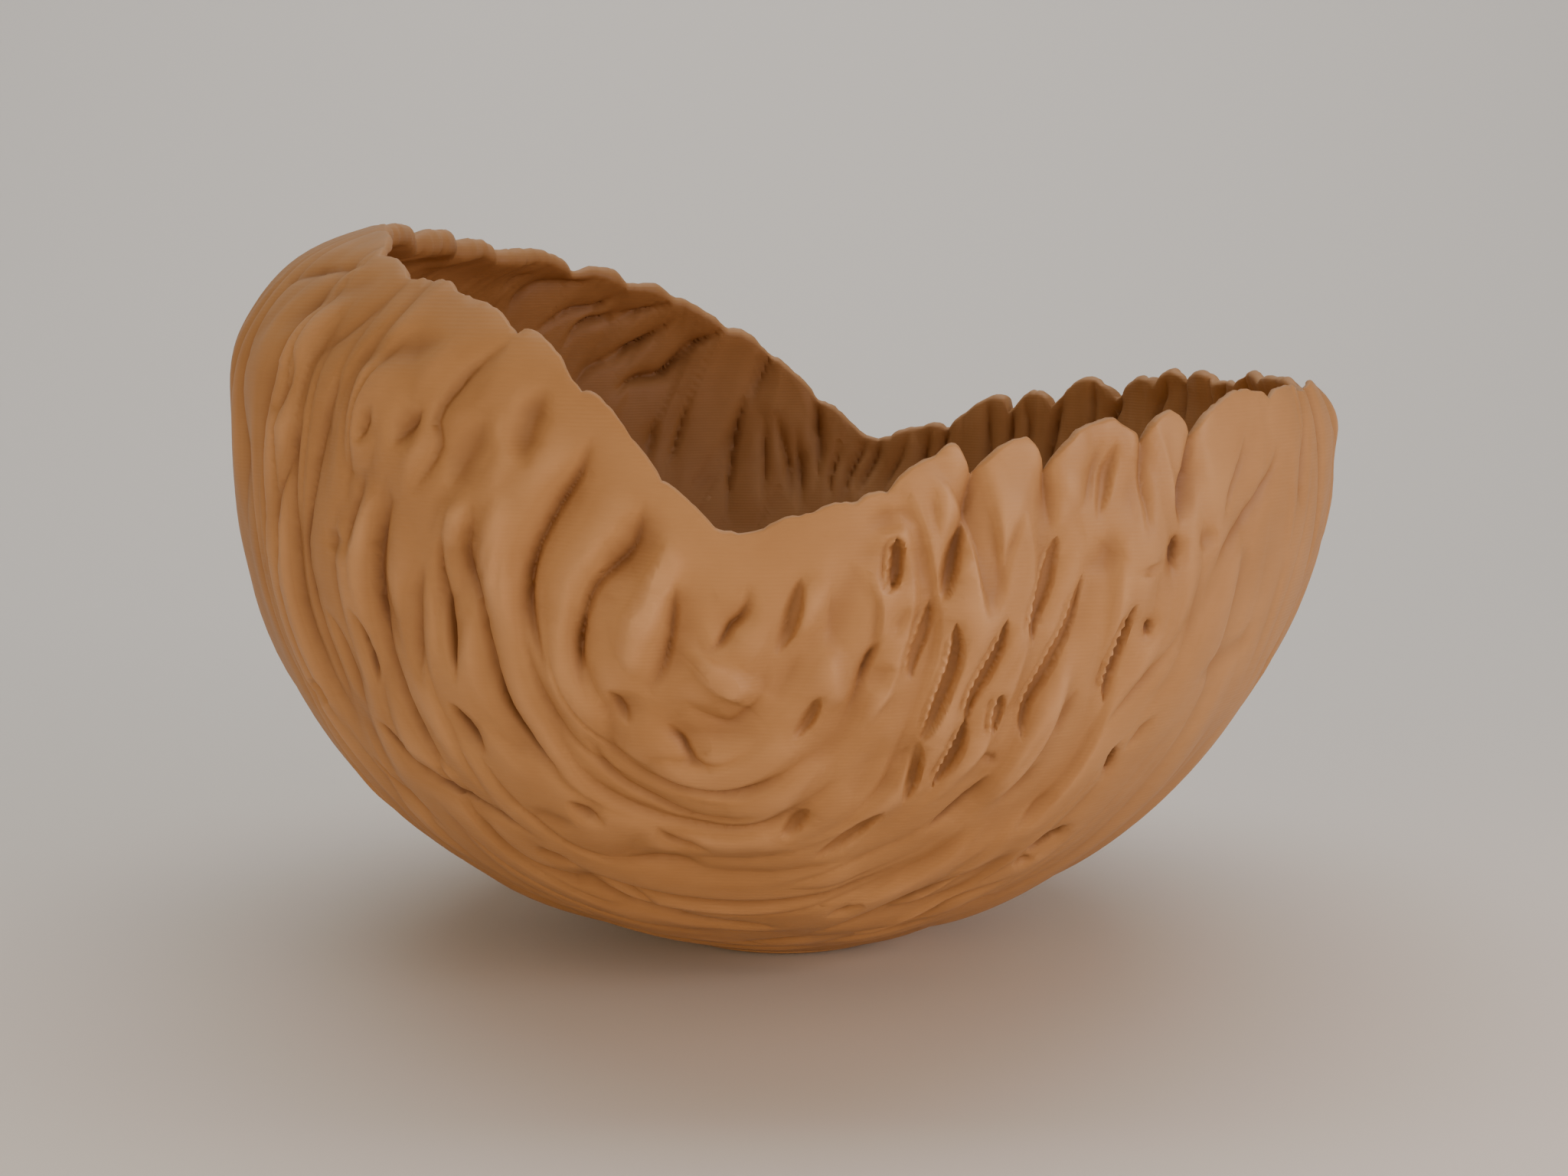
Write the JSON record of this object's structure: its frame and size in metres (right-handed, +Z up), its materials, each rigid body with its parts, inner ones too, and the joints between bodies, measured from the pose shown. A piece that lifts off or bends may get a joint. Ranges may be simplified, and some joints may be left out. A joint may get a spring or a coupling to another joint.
{
  "type": "decorative bowl",
  "caption": "Free-standing rounded bowl with a thin rippled wall, a tall curled lobe facing a lower one, a scalloped saddle rim and a felt pad under its foot.",
  "frame": {"origin": "centre of the felt pad's resting face, on the axis of the bowl's widest ring", "axes": "+Z up, out of the bowl's mouth; +X towards the low lobe; -Y towards the front saddle"},
  "size_m": [0.199, 0.1994, 0.1303],
  "materials": {
    "printed_plastic": "matte tan PLA, printed in fine level layers",
    "felt": "pressed brown wool felt"
  },
  "bodies": {
    "root": {"bowl_shell": "printed_plastic", "felt_base_pad": "felt"}
  },
  "joints": []
}
